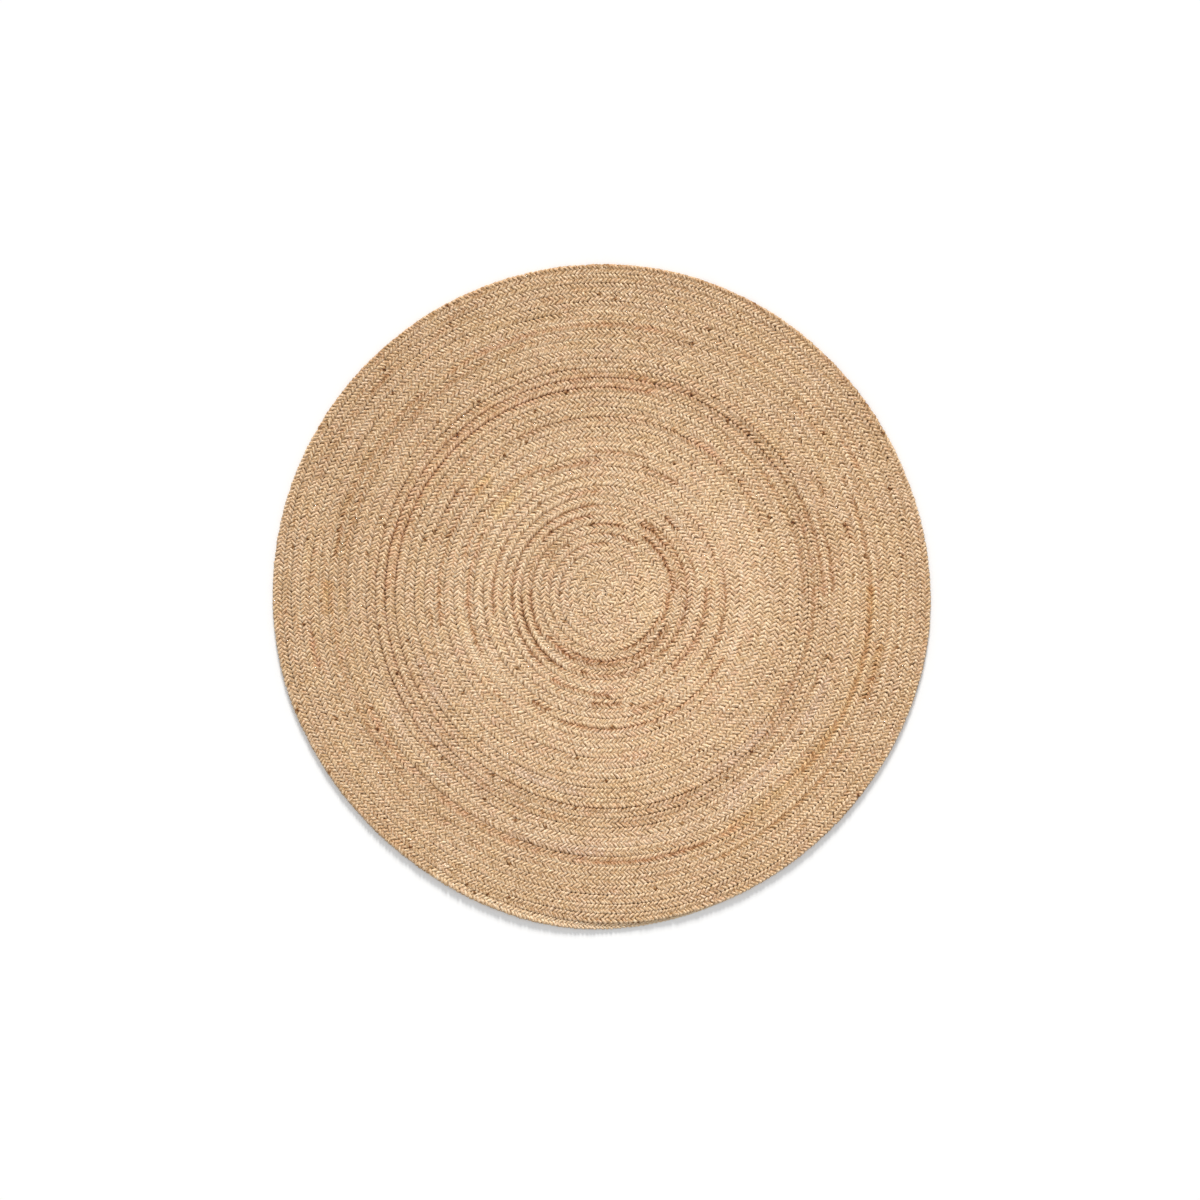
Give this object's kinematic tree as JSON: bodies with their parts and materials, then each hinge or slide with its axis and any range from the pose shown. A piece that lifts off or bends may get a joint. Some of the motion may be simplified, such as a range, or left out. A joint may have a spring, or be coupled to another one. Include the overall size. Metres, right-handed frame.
{
  "type": "round braided hemp rug",
  "caption": "Round flat rug of one three-strand hemp braid, coiled from the middle and sewn edge to edge.",
  "frame": {"origin": "middle of the rug's outline, on the floor plane under it", "axes": "+Z up out of the rug, +X right and +Y up as it is seen from above"},
  "size_m": [1.4956, 1.5118, 0.01],
  "materials": {
    "hemp": "dry matt hemp fibre braid, straw to tan with light and brown strands"
  },
  "bodies": {
    "root": {"coiled_braid": "hemp"}
  },
  "joints": []
}
